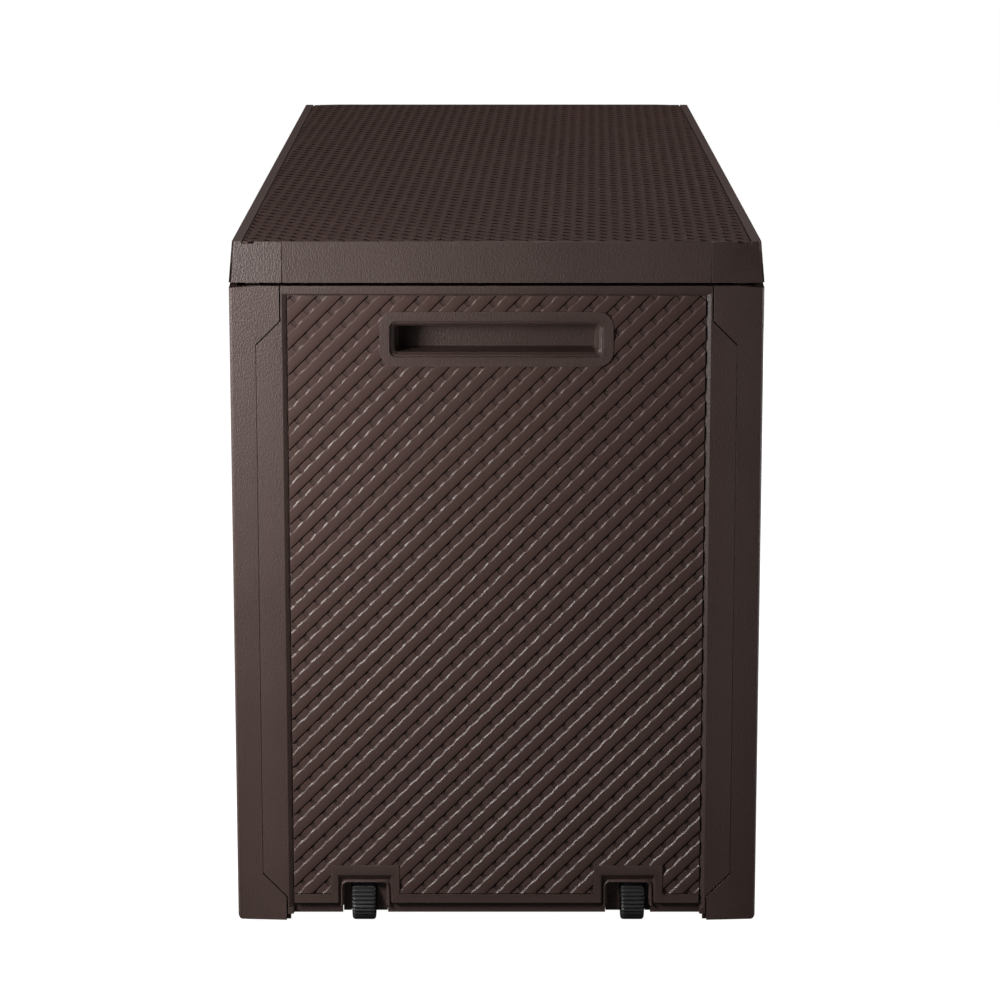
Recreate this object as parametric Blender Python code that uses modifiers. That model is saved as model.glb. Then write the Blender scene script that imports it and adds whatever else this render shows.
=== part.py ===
"""Resin deck storage box: five snap-together panels, a hinged lid and two small wheels.

X runs along the box with the wheels at +X. The lid opens at -Y and its hinges are at +Y.
The origin is at the middle of the footprint, on the ground.
"""

import math

import bmesh
import bpy

# Overall size
box_length = 1.200
box_width = 0.450
box_height = 0.5988

# Panels: a skin behind a sunk field, with plain borders standing round the field.
# cut_past is how far a cutter runs past the faces it cuts.
skin = 0.004
field_depth = 0.0028
fit_gap = 0.0003
panel_gap = 0.0005
cut_past = 0.01

# Corner posts, which the long walls wrap round onto the ends
corner_width = 0.045
corner_setback = 0.003
corner_radius = 0.003
return_thickness = 0.0075
return_overlap = 0.001

# End wall flange, let into the posts
flange_thickness = 0.0035
flange_side_margin = 0.0225
flange_end_margin = 0.0435
flange_chamfer_drop = 0.030
flange_chamfer_rise = 0.0158
flange_end_gap = 0.001

# Field borders, measured in from the edges of a panel
field_side_margin = 0.0485
field_top_margin = 0.0078
field_bottom_margin = 0.0177
border_strip = 0.0080

# Feet
foot_drop = 0.0056
wheel_end_clearance = 0.0050
foot_length = 0.055

# Recessed handles in the end walls
handle_width = 0.180
handle_height = 0.030
handle_rim = 0.0085
handle_corner = 0.0045
handle_drop = 0.0218
handle_depth = 0.028
handle_draft = 0.003
pocket_wall = 0.003

# Finger scoop under the front edge of the lid
scoop_width = 0.130
scoop_height = 0.024
scoop_depth = 0.014
scoop_corner = 0.010

# Floor tray
floor_thickness = 0.003
floor_over_wheels = 0.012
floor_rib = 0.003
floor_rib_pitch = 0.098
floor_rib_drop = 0.022
ledge_width = 0.008
ledge_thickness = 0.004
ledge_length_share = 0.93

# Wheels, which turn on pins between the tray's cheeks
wheel_radius = 0.020
wheel_width = 0.0204
wheel_edge = 0.0022
wheel_setback = 0.0005
wheel_hub_clearance = 0.0002
wheel_side_gap = 0.0005
wheel_facets = 36
axle_radius = 0.003
axle_chamfer = 0.0006
notch_inset = 0.1109
notch_half = 0.0195
notch_top_over_wheel = 0.0016
hood_border = 0.0103
hood_top = 0.0160
front_wheel_shift = 0.0014
back_wheel_shift = 0.0042
cheek_setback = 0.0105
cheek_length = 0.038
cheek_gap = 0.0004
cheek_thickness = 0.006
cheek_rib_gap = 0.020

# Lid
lid_skirt_height = 0.0345
lid_gap = 0.0025
lid_draft = 0.003
lid_skirt = 0.0035
lid_top_thickness = 0.0058
lid_field_depth = 0.002
lid_field_margin = 0.011
lid_field_end_margin = 0.002
lid_rib = 0.003
lid_rib_drop = 0.012
lid_cross_ribs = 9
lid_rib_end_gap = 0.001
lid_seat = 0.012

# Hinges: a tower on the back wall and a fork on the lid, on one pin
hinge_inset = 0.200
hinge_back = 0.008
knuckle_gap = 0.0037
knuckle_radius = 0.005
knuckle_sides = 20
tower_width = 0.034
tower_drop = 0.042
fork_ear = 0.012
fork_reach = 0.052
hinge_leaf = 0.004
hinge_side_gap = 0.0006
pin_radius = 0.002
pin_head_radius = 0.0032
pin_head = 0.0015
pin_over = 0.0015
slot_side_gap = 0.004
slot_rise = 0.0070
slot_reach = 0.020
fork_rib_gap = 0.006

# Pan head screws
screw_radius = 0.0019
screw_head_radius = 0.0036
screw_head = 0.0022
screw_bite = 0.003
screw_sides = 12
tower_screw_spacing = 0.020
tower_screw_drop = 0.0165
fork_screw_spacing = 0.044
fork_screw_inset = 0.012

# Worked out from the sizes above
half_length = box_length / 2
half_width = box_width / 2
panel_depth = skin + field_depth
skirt_bottom = box_height - lid_skirt_height
wall_top = skirt_bottom - lid_gap
panel_bottom = wheel_end_clearance + foot_drop
crease_y = half_width - corner_width
return_inner_y = crease_y - return_overlap
field_half = half_width - field_side_margin
field_top = wall_top - field_top_margin
field_bottom = panel_bottom + field_bottom_margin
strip_bottom = field_bottom - border_strip
inner_y = half_width - panel_depth
floor_top = 2 * wheel_radius + floor_over_wheels
axle_x = half_length - wheel_radius - wheel_setback
notch_y = half_width - notch_inset
notch_top = 2 * wheel_radius - notch_top_over_wheel
handle_z = wall_top - handle_drop - handle_rim - handle_height / 2
hinge_y = half_width - hinge_back
lid_under = box_height - lid_top_thickness
hinge_z = lid_under - fit_gap - hinge_leaf - knuckle_gap - knuckle_radius
hinge_width = tower_width + 2 * (fork_ear + hinge_side_gap)

for leftover in list(bpy.data.objects):
    bpy.data.objects.remove(leftover)

parts = bpy.data.collections.new("deck_storage_box")
tools = bpy.data.collections.new("cutters")
for collection in (parts, tools):
    bpy.context.scene.collection.children.link(collection)


def material(name, color, roughness, metallic=0.0):
    made = bpy.data.materials.new(name)
    made.use_nodes = True
    shader = made.node_tree.nodes["Principled BSDF"]
    shader.inputs["Base Color"].default_value = (*color, 1.0)
    shader.inputs["Roughness"].default_value = roughness
    shader.inputs["Metallic"].default_value = metallic
    return made


brown_resin = material("brown_resin", (0.052, 0.032, 0.029), 0.48)
black_resin = material("black_resin", (0.018, 0.018, 0.018), 0.5)
zinc_steel = material("zinc_steel", (0.55, 0.55, 0.53), 0.35, 1.0)


def object_from(name, shape, finish):
    """A piece of the box, or a cutter when it has no finish."""
    mesh = bpy.data.meshes.new(name)
    bmesh.ops.recalc_face_normals(shape, faces=shape.faces)
    shape.to_mesh(mesh)
    shape.free()
    made = bpy.data.objects.new(name, mesh)
    if finish:
        mesh.materials.append(finish)
        parts.objects.link(made)
    else:
        made.hide_render = True
        made.display_type = "WIRE"
        tools.objects.link(made)
    return made


def boxes(name, corners, finish=None):
    """One object of axis-aligned boxes, each given by two opposite corners."""
    shape = bmesh.new()
    for low, high in corners:
        verts = bmesh.ops.create_cube(shape, size=1.0)["verts"]
        size = [abs(b - a) for a, b in zip(low, high)]
        middle = [(a + b) / 2 for a, b in zip(low, high)]
        bmesh.ops.scale(shape, vec=size, verts=verts)
        bmesh.ops.translate(shape, vec=middle, verts=verts)
    return object_from(name, shape, finish)


def prism(name, outline, start, end, place, finish=None, far_outline=None):
    """A solid between two copies of an outline. place(a, b, along) gives a corner's position."""
    shape = bmesh.new()
    near = [shape.verts.new(place(a, b, start)) for a, b in outline]
    far = [shape.verts.new(place(a, b, end)) for a, b in far_outline or outline]
    shape.faces.new(near)
    shape.faces.new(far[::-1])
    for i in range(len(near)):
        j = (i + 1) % len(near)
        shape.faces.new((near[i], near[j], far[j], far[i]))
    return object_from(name, shape, finish)


def upright(x, y, z):
    return (x, y, z)


def along_x(y, z, x):
    return (x, y, z)


def along_y(x, z, y):
    return (x, y, z)


def combine(target, operation, others, overlapping=False):
    for other in others:
        step = target.modifiers.new(other.name, "BOOLEAN")
        step.operation = operation
        step.solver = "EXACT"
        step.object = other
        step.use_self = overlapping


def arc(centre, radius, start, end, steps):
    """Points on an arc, angles in degrees."""
    turns = [math.radians(start + (end - start) * i / steps) for i in range(steps + 1)]
    return [(centre[0] + radius * math.cos(t), centre[1] + radius * math.sin(t)) for t in turns]


def rounded_rectangle(half_a, half_b, radius, middle=(0.0, 0.0), steps=4):
    points = []
    for sign_a, sign_b, start in ((1, 1, 0), (-1, 1, 90), (-1, -1, 180), (1, -1, 270)):
        centre = (
            middle[0] + sign_a * (half_a - radius),
            middle[1] + sign_b * (half_b - radius),
        )
        points += arc(centre, radius, start, start + 90, steps)
    return points


def turned(name, profile, steps, finish):
    """A round piece about its own Z axis. The profile runs down the outside, top to bottom."""
    mesh = bpy.data.meshes.new(name)
    edges = [(i, i + 1) for i in range(len(profile) - 1)]
    mesh.from_pydata([(r, 0.0, z) for r, z in profile], edges, [])
    made = bpy.data.objects.new(name, mesh)
    mesh.materials.append(finish)
    parts.objects.link(made)
    spin = made.modifiers.new("turn", "SCREW")
    spin.axis = "Z"
    spin.steps = steps
    spin.render_steps = steps
    spin.use_merge_vertices = True
    spin.merge_threshold = 0.00001
    spin.use_smooth_shade = True
    return made


def hole(name, radius, start, end, across, place, sides=16):
    """A round cutter. across is its centre in the plane square to it."""
    last = 360 * (sides - 1) / sides
    return prism(name, arc(across, radius, 0, last, sides - 1), start, end, place)


# ---------------------------------------------------------------- long walls


def corner_outline(side, inset=0.0):
    """Half the outer outline in plan, from the crease at one end to the crease at the other."""
    reach = half_length - inset
    edge = half_width - inset
    slope = math.atan2(corner_setback, corner_width)
    centre_x = reach - corner_setback - corner_radius
    bend = [(reach, crease_y)]
    bend += arc(
        (centre_x, edge - corner_radius), corner_radius, math.degrees(slope), 90, 4
    )
    bend += [(-x, y) for x, y in reversed(bend)]
    return [(x, side * y) for x, y in bend]


def flange_outline(side_grow, end_grow, reach_bottom, reach_top):
    """The end wall's outline in Y and Z, with its four chamfered corners."""
    wide = half_width - flange_side_margin + side_grow
    narrow = half_width - flange_end_margin + end_grow
    top = wall_top - flange_chamfer_drop + side_grow
    bottom = panel_bottom + flange_chamfer_rise - side_grow
    step = wide - narrow
    right = [
        (narrow, reach_bottom),
        (narrow, bottom),
        (wide, bottom + step),
        (wide, top - step),
        (narrow, top),
        (narrow, reach_top),
    ]
    return right + [(-y, z) for y, z in reversed(right)]


def flange_blank(name, end, depth, proud, side_grow, end_grow, finish=None):
    """A plate bent back at both creases and cut to the flange's outline, proud of the end face."""
    wide = half_width - flange_side_margin + side_grow
    slope = corner_setback / corner_width
    drop = (wide - crease_y) * slope
    front = half_length + proud
    back = half_length - depth
    plan = [
        (end * (front - drop), -wide),
        (end * front, -crease_y),
        (end * front, crease_y),
        (end * (front - drop), wide),
        (end * (back - drop), wide),
        (end * back, crease_y),
        (end * back, -crease_y),
        (end * (back - drop), -wide),
    ]
    over = 0.0 if finish else cut_past
    blank = prism(name, plan, panel_bottom - over, wall_top + over, upright, finish)
    outline = prism(
        f"{name}_outline",
        flange_outline(side_grow, end_grow, panel_bottom - 2 * cut_past, wall_top + 2 * cut_past),
        end * (half_length - corner_width),
        end * (half_length + corner_width),
        along_x,
    )
    combine(blank, "INTERSECT", [outline])
    return blank


def long_wall(name, side):
    inner_x = half_length - return_thickness
    outline = [(half_length, side * return_inner_y)]
    outline += corner_outline(side)
    outline += [
        (-half_length, side * return_inner_y),
        (-inner_x, side * return_inner_y),
        (-inner_x, side * inner_y),
        (inner_x, side * inner_y),
        (inner_x, side * return_inner_y),
    ]
    wall = prism(name, outline, 0.0, wall_top, upright, brown_resin)
    out = side * (half_width + cut_past)
    deep = side * (return_inner_y - cut_past)
    foot_in = half_length - foot_length
    middle = boxes(
        f"{name}_underside", [((-foot_in, deep, -cut_past), (foot_in, out, panel_bottom))]
    )
    wheel_end = boxes(
        f"{name}_wheel_end_foot",
        [((0.0, deep, -2 * cut_past), (box_length, out, wheel_end_clearance))],
    )
    field_end = half_length - field_side_margin
    field = boxes(
        f"{name}_field",
        [
            (
                (-field_end, side * (half_width - field_depth), field_bottom),
                (field_end, out, field_top),
            )
        ],
    )
    combine(wall, "DIFFERENCE", [middle, wheel_end, field])
    for end in (-1, 1):
        depth = flange_thickness + fit_gap
        rebate = flange_blank(
            f"{name}_rebate_{end}", end, depth, cut_past, fit_gap, flange_end_gap
        )
        combine(wall, "DIFFERENCE", [rebate])
    ledge_half = half_length * ledge_length_share
    floor_under = floor_top - floor_thickness - fit_gap
    ledge = boxes(
        f"{name}_ledge",
        [
            (
                (-ledge_half, side * (inner_y - ledge_width), floor_under - ledge_thickness),
                (ledge_half, side * (inner_y + skin / 2), floor_under),
            )
        ],
    )
    combine(wall, "UNION", [ledge])
    return wall


def finger_scoop(wall):
    """A pocket under the lid's front edge, open at the top to the gap and to the front."""
    face = -half_width
    behind_field = face + field_depth + skin / 2

    def mouth(grow, radius):
        return rounded_rectangle(scoop_width / 2 + grow, scoop_height + grow, radius, (0, wall_top))

    shell = prism(
        "scoop_shell",
        mouth(pocket_wall, scoop_corner),
        behind_field,
        face + scoop_depth + pocket_wall,
        along_y,
    )
    above = boxes(
        "scoop_trim",
        [
            (
                (-scoop_width, face - cut_past, wall_top),
                (scoop_width, face + 2 * scoop_depth, wall_top + 2 * scoop_height),
            )
        ],
    )
    hollow = prism(
        "scoop_hollow",
        mouth(0.0, scoop_corner - pocket_wall / 2),
        face - cut_past,
        face + scoop_depth,
        along_y,
    )
    rim = prism(
        "scoop_rim", mouth(handle_rim, scoop_corner + handle_rim / 2), face, behind_field, along_y
    )
    combine(wall, "UNION", [rim, shell])
    combine(wall, "DIFFERENCE", [above, hollow])


front_wall = long_wall("front_wall", -1)
finger_scoop(front_wall)
back_wall = long_wall("back_wall", 1)


# ---------------------------------------------------------------- end walls


def handle_pocket(wall, end):
    """The carrying handle: a proud rim round a drafted pocket that is closed behind."""
    rim_half = handle_width / 2 + handle_rim
    rim_tall = handle_height / 2 + handle_rim
    middle = (0.0, handle_z)
    plane = end * half_length
    rim = prism(
        f"handle_rim_{end}",
        rounded_rectangle(rim_half, rim_tall, handle_corner + handle_rim, middle),
        plane,
        plane - end * (field_depth + skin / 2),
        along_x,
    )
    shell = prism(
        f"handle_shell_{end}",
        rounded_rectangle(
            handle_width / 2 + pocket_wall, handle_height / 2 + pocket_wall, handle_corner, middle
        ),
        plane - end * (field_depth + skin / 2),
        plane - end * (handle_depth + pocket_wall),
        along_x,
    )
    mouth = rounded_rectangle(handle_width / 2, handle_height / 2, handle_corner, middle)
    back = rounded_rectangle(
        handle_width / 2 - handle_draft, handle_height / 2 - handle_draft / 2, handle_corner, middle
    )
    hollow = prism(
        f"handle_hollow_{end}",
        mouth,
        plane + end * fit_gap,
        plane - end * handle_depth,
        along_x,
        far_outline=back,
    )
    combine(wall, "UNION", [rim, shell])
    combine(wall, "DIFFERENCE", [hollow])


def wheel_notches(wall, end):
    """Arched openings for the wheels, each inside a plain raised border."""
    plane = end * half_length
    back = plane - end * (field_depth + skin / 2)
    for side in (-1, 1):
        middle = side * notch_y
        outer = notch_half + hood_border
        hood = boxes(
            f"hood_{end}_{side}",
            [((plane, middle - outer, panel_bottom), (back, middle + outer, notch_top + hood_top))],
        )
        opening = boxes(
            f"notch_{end}_{side}",
            [
                (
                    (plane + end * cut_past, middle - notch_half, -cut_past),
                    (plane - end * 2 * panel_depth, middle + notch_half, notch_top),
                )
            ],
        )
        combine(wall, "UNION", [hood])
        combine(wall, "DIFFERENCE", [opening])


def end_wall(name, end):
    wall = flange_blank(name, end, flange_thickness, 0.0, 0.0, 0.0, brown_resin)
    inside = end * (half_length - 2 * cut_past)
    outside = end * (half_length + 2 * cut_past)
    field = boxes(
        f"{name}_field",
        [
            ((inside, -field_half, field_bottom), (outside, field_half, field_top)),
            ((inside, -field_half, panel_bottom - cut_past), (outside, field_half, strip_bottom)),
        ],
    )
    combine(wall, "DIFFERENCE", [field])
    plate_half = return_inner_y - panel_gap
    plate = boxes(
        f"{name}_plate",
        [
            (
                (end * (half_length - field_depth), -plate_half, panel_bottom),
                (end * (half_length - panel_depth), plate_half, wall_top),
            )
        ],
    )
    combine(wall, "UNION", [plate])
    handle_pocket(wall, end)
    return wall


wheel_end_wall = end_wall("wheel_end_wall", 1)
wheel_notches(wheel_end_wall, 1)
plain_end_wall = end_wall("plain_end_wall", -1)


# ---------------------------------------------------------------- floor tray


def wheel_places():
    """Each wheel's name, its notch's middle and its own middle along Y."""
    return (
        ("front", -notch_y, -notch_y - front_wheel_shift),
        ("back", notch_y, notch_y + back_wheel_shift),
    )


def cheek_span(notch_middle, wheel_middle, side):
    """A cheek's near and far face, counted from its wheel, along Y."""
    near = wheel_middle + side * (wheel_width / 2 + wheel_side_gap)
    far = notch_middle + side * (notch_half - cheek_gap)
    return near, side * max(side * far, side * near + cheek_thickness)


def floor_tray():
    reach_x = half_length - return_thickness - panel_gap
    reach_y = inner_y - fit_gap
    under = floor_top - floor_thickness
    tray = boxes(
        "base_floor", [((-reach_x, -reach_y, under), (reach_x, reach_y, floor_top))], brown_resin
    )
    rib_half_y = inner_y - ledge_width - 3 * panel_gap
    cheek_front = half_length - cheek_setback
    cheek_back = cheek_front - cheek_length
    ribs = []
    low = under - floor_rib_drop
    high = under + floor_thickness / 2
    across = int((cheek_back - cheek_rib_gap) / floor_rib_pitch)
    for i in range(-across, across + 1):
        x = i * floor_rib_pitch
        ribs.append(((x - floor_rib / 2, -rib_half_y, low), (x + floor_rib / 2, rib_half_y, high)))
    end = across * floor_rib_pitch
    for y in (-rib_half_y / 2, 0.0, rib_half_y / 2):
        ribs.append(((-end, y - floor_rib / 2, low), (end, y + floor_rib / 2, high)))
    for _, notch_middle, wheel_middle in wheel_places():
        for side in (-1, 1):
            faces = cheek_span(notch_middle, wheel_middle, side)
            ribs.append(((cheek_back, min(faces), panel_bottom), (cheek_front, max(faces), high)))
    combine(tray, "UNION", [boxes("floor_ribs", ribs)], overlapping=True)
    for label, notch_middle, _ in wheel_places():
        bore = hole(
            f"axle_hole_{label}",
            axle_radius + fit_gap,
            notch_middle - 2 * notch_half,
            notch_middle + 2 * notch_half,
            (axle_x, wheel_radius),
            along_y,
        )
        combine(tray, "DIFFERENCE", [bore])
    return tray


base_floor = floor_tray()


# ---------------------------------------------------------------- wheels


def wheel(label, middle):
    half = wheel_width / 2
    bore = axle_radius + wheel_hub_clearance
    crown = arc((wheel_radius - wheel_edge, half - wheel_edge), wheel_edge, 90, 0, 3)
    profile = [(bore, half)] + crown + [(r, -z) for r, z in reversed(crown)]
    profile += [(bore, -half), (bore, half)]
    made = turned(f"{label}_wheel", profile, wheel_facets, black_resin)
    made.location = (axle_x, middle, wheel_radius)
    made.rotation_euler = (math.radians(90), 0, 0)


def axle(label, notch_middle, wheel_middle):
    ends = [cheek_span(notch_middle, wheel_middle, side)[1] for side in (-1, 1)]
    half = (ends[1] - ends[0]) / 2
    tip = axle_radius - axle_chamfer
    profile = [
        (0.0, half),
        (tip, half),
        (axle_radius, half - axle_chamfer),
        (axle_radius, axle_chamfer - half),
        (tip, -half),
        (0.0, -half),
    ]
    made = turned(f"{label}_wheel_axle", profile, 16, zinc_steel)
    made.location = (axle_x, (ends[0] + ends[1]) / 2, wheel_radius)
    made.rotation_euler = (math.radians(90), 0, 0)


for label, notch_middle, wheel_middle in wheel_places():
    wheel(label, wheel_middle)
    axle(label, notch_middle, wheel_middle)


# ---------------------------------------------------------------- lid


def lid_outline(inset):
    return corner_outline(1, inset) + corner_outline(-1, inset)[::-1]


def lid():
    shell = prism(
        "lid_shell",
        lid_outline(0.0),
        skirt_bottom,
        box_height,
        upright,
        brown_resin,
        far_outline=lid_outline(lid_draft),
    )
    run = lid_draft * lid_top_thickness / lid_skirt_height
    hollow = prism(
        "lid_hollow",
        lid_outline(lid_skirt - run / 2),
        skirt_bottom - fit_gap,
        lid_under,
        upright,
        far_outline=lid_outline(lid_skirt + lid_draft - run / 2),
    )
    field_y = half_width - lid_draft - lid_field_margin
    field_x = half_length - lid_draft - lid_field_end_margin
    field_low = box_height - lid_field_depth
    field = boxes(
        "lid_field",
        [((-field_x, -field_y, field_low), (field_x, field_y, box_height + cut_past))],
    )
    combine(shell, "DIFFERENCE", [hollow, field])
    rib_low = lid_under - lid_rib_drop
    rib_high = lid_under + lid_field_depth / 2
    rib_front = half_width - lid_draft - lid_skirt - lid_rib_end_gap
    rib_back = hinge_y - fork_reach - fork_rib_gap
    rib_end = half_length - lid_draft - lid_skirt - lid_rib_end_gap
    ribs = []
    for i in range(lid_cross_ribs):
        x = (i - (lid_cross_ribs - 1) / 2) * 2 * rib_end / (lid_cross_ribs + 1)
        ribs.append(((x - lid_rib / 2, -rib_front, rib_low), (x + lid_rib / 2, rib_back, rib_high)))
    for y in (-rib_front / 2, 0.0, rib_back - lid_rib):
        ribs.append(((-rib_end, y - lid_rib / 2, rib_low), (rib_end, y + lid_rib / 2, rib_high)))
    seat_x = half_length - corner_setback - lid_skirt - lid_seat
    seat_y = rib_front - lid_seat
    for sign_x in (-1, 1):
        for sign_y in (-1, 1):
            x = sign_x * seat_x
            y = sign_y * seat_y
            half = lid_seat / 2
            ribs.append(((x - half, y - half, wall_top + fit_gap), (x + half, y + half, rib_high)))
    combine(shell, "UNION", [boxes("lid_ribs", ribs)], overlapping=True)
    slots = [
        (
            (x - hinge_width / 2 - slot_side_gap, half_width - slot_reach, skirt_bottom - cut_past),
            (x + hinge_width / 2 + slot_side_gap, half_width + cut_past, hinge_z + slot_rise),
        )
        for x in hinge_places()
    ]
    combine(shell, "DIFFERENCE", [boxes("hinge_slots", slots)])
    return shell


def hinge_places():
    reach = half_length - hinge_inset
    return (-reach, 0.0, reach)


lid_shell = lid()


# ---------------------------------------------------------------- hinges


def screw(name, place, rotation):
    """A pan head screw pointing along its own -Z, its head's underside at its origin."""
    crown = [
        (screw_head_radius * math.cos(t), screw_head * (0.45 + 0.55 * math.sin(t)))
        for t in (math.radians(a) for a in (90, 60, 30, 0))
    ]
    length = hinge_leaf + screw_bite
    profile = [(0.0, crown[0][1])] + crown[1:]
    profile += [
        (screw_head_radius, 0.0),
        (screw_radius, 0.0),
        (screw_radius, -length + screw_radius),
        (0.0, -length),
    ]
    made = turned(name, profile, screw_sides, zinc_steel)
    made.location = place
    made.rotation_euler = rotation


def hinge_tower(index, x):
    """The wall half: a leaf on the back wall's inside that rises into the lid to one knuckle."""
    half = tower_width / 2
    face = inner_y - fit_gap
    tower = boxes(
        f"hinge_{index}_wall_leaf",
        [((x - half, face - hinge_leaf, wall_top - tower_drop), (x + half, face, hinge_z))],
        brown_resin,
    )
    axis = (hinge_y, hinge_z)
    knuckle = hole(
        f"knuckle_wall_{index}", knuckle_radius, x - half, x + half, axis, along_x, knuckle_sides
    )
    bore = hole(
        f"bore_wall_{index}",
        pin_radius + fit_gap,
        x - half - cut_past,
        x + half + cut_past,
        axis,
        along_x,
    )
    combine(tower, "UNION", [knuckle])
    combine(tower, "DIFFERENCE", [bore])
    for number, offset in enumerate((-tower_screw_spacing / 2, tower_screw_spacing / 2), 1):
        at = (x + offset, wall_top - tower_screw_drop)
        clear = hole(
            f"screw_hole_wall_{index}_{number}",
            screw_radius + fit_gap,
            face - hinge_leaf - cut_past,
            face + screw_bite + 2 * fit_gap,
            at,
            along_y,
            screw_sides,
        )
        combine(tower, "DIFFERENCE", [clear])
        combine(back_wall, "DIFFERENCE", [clear])
        screw(
            f"hinge_{index}_wall_screw_{number}",
            (at[0], face - hinge_leaf - fit_gap, at[1]),
            (math.radians(90), 0, 0),
        )


def hinge_fork(index, x):
    """The lid half: a leaf under the lid with an ear at each side of the tower's knuckle."""
    outer = hinge_width / 2
    inner = tower_width / 2 + hinge_side_gap
    axis = (hinge_y, hinge_z)
    face = lid_under - fit_gap
    leaf_low = face - hinge_leaf
    fork = boxes(
        f"hinge_{index}_lid_leaf",
        [((x - outer, hinge_y - fork_reach, leaf_low), (x + outer, hinge_y, face))],
        brown_resin,
    )
    webs = []
    for side in (-1, 1):
        start = x + side * inner
        end = x + side * outer
        webs.append(
            (
                (min(start, end), hinge_y - knuckle_radius, hinge_z),
                (max(start, end), hinge_y - knuckle_radius / 5, leaf_low + hinge_leaf / 2),
            )
        )
        knuckle = hole(
            f"knuckle_lid_{index}_{side}",
            knuckle_radius,
            min(start, end),
            max(start, end),
            axis,
            along_x,
            knuckle_sides,
        )
        combine(fork, "UNION", [knuckle])
    combine(fork, "UNION", [boxes(f"webs_{index}", webs)])
    bore = hole(
        f"bore_lid_{index}",
        pin_radius + fit_gap,
        x - outer - cut_past,
        x + outer + cut_past,
        axis,
        along_x,
    )
    combine(fork, "DIFFERENCE", [bore])
    for number, offset in enumerate((-fork_screw_spacing / 2, fork_screw_spacing / 2), 1):
        at = (x + offset, hinge_y - fork_reach + fork_screw_inset)
        clear = hole(
            f"screw_hole_lid_{index}_{number}",
            screw_radius + fit_gap,
            leaf_low - cut_past,
            face + screw_bite + 2 * fit_gap,
            at,
            upright,
            screw_sides,
        )
        combine(fork, "DIFFERENCE", [clear])
        combine(lid_shell, "DIFFERENCE", [clear])
        screw(
            f"hinge_{index}_lid_screw_{number}",
            (at[0], at[1], leaf_low - fit_gap),
            (math.radians(180), 0, 0),
        )


def hinge_pin(index, x):
    """A steel pin with a head at one end, along the lid's axis."""
    half = hinge_width / 2
    tip = half + pin_over
    start = -half - fit_gap
    profile = [
        (0.0, tip),
        (pin_radius - axle_chamfer, tip),
        (pin_radius, tip - axle_chamfer),
        (pin_radius, start),
        (pin_head_radius, start),
        (pin_head_radius, start - pin_head),
        (0.0, start - pin_head),
    ]
    made = turned(f"hinge_{index}_pin", profile, 16, zinc_steel)
    made.location = (x, hinge_y, hinge_z)
    made.rotation_euler = (0, math.radians(90), 0)


for index, x in enumerate(hinge_places(), 1):
    hinge_tower(index, x)
    hinge_fork(index, x)
    hinge_pin(index, x)
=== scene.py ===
"""Looks of a resin deck storage box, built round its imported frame.

X runs along the box with the wheels at +X, the lid opens at -Y and its hinges are at +Y.
Sizes are in metres.
"""

import math

import bmesh
import bpy
import numpy as np
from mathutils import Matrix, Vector


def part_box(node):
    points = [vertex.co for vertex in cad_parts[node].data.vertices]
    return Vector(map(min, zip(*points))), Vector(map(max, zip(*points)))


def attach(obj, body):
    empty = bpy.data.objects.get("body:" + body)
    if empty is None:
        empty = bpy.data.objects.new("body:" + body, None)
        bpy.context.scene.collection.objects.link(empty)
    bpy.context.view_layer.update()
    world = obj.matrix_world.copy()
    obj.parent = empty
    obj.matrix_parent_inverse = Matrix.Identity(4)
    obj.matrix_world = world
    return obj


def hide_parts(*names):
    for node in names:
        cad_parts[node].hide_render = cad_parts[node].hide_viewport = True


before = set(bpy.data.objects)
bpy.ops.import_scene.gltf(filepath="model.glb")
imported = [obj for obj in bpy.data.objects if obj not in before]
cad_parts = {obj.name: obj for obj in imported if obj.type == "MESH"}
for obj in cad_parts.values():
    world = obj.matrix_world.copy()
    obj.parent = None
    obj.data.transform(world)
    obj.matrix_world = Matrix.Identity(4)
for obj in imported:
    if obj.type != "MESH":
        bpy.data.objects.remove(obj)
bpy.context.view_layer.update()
scene = bpy.context.scene

# ------------------------------------------------------------------ studio
# A pale floor that runs far past the box, soft boxes round it, and a camera that looks squarely
# at the wheeled end from a little above. None of it belongs to the box.

scene.view_settings.view_transform = "Standard"

lens = bpy.data.cameras.new("studio_camera")
lens.lens = 127.476
lens.sensor_width = 36.0
lens.shift_x = 0.0034
lens.shift_y = 0.0016
camera = bpy.data.objects.new("studio_camera", lens)
camera.location = (3.541, 0.0, 0.99615)
look_down = 11.885
camera.rotation_euler = (math.radians(90 - look_down), 0.0, math.radians(90))
scene.collection.objects.link(camera)
scene.camera = camera


def add_node(tree, kind, inputs=None, **settings):
    """A shader node with its settings, and with values or links for its inputs."""
    made = tree.nodes.new(kind)
    for key, value in settings.items():
        setattr(made, key, value)
    for key, value in (inputs or {}).items():
        if isinstance(value, bpy.types.NodeSocket):
            tree.links.new(value, made.inputs[key])
        else:
            made.inputs[key].default_value = value
    return made


def studio_world():
    """White behind the box, but only a faint light on it."""
    world = bpy.data.worlds.new("studio")
    world.use_nodes = True
    tree = world.node_tree
    path = add_node(tree, "ShaderNodeLightPath")
    level = add_node(
        tree,
        "ShaderNodeMapRange",
        {"Value": path.outputs["Is Camera Ray"], "To Min": 0.02, "To Max": 1.0},
    )
    tree.links.new(level.outputs[0], tree.nodes["Background"].inputs["Strength"])
    tree.nodes["Background"].inputs["Color"].default_value = (1, 1, 1, 1)
    scene.world = world


studio_world()


def soft_box(name, place, aim, size, power, spread=180):
    """A rectangular light. spread narrows its beam, in degrees."""
    light = bpy.data.lights.new(name, "AREA")
    light.shape = "RECTANGLE"
    light.size, light.size_y = size
    light.energy = power
    light.spread = math.radians(spread)
    made = bpy.data.objects.new(name, light)
    made.location = place
    direction = Vector(aim) - Vector(place)
    made.rotation_euler = direction.to_track_quat("-Z", "Y").to_euler()
    scene.collection.objects.link(made)


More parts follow.
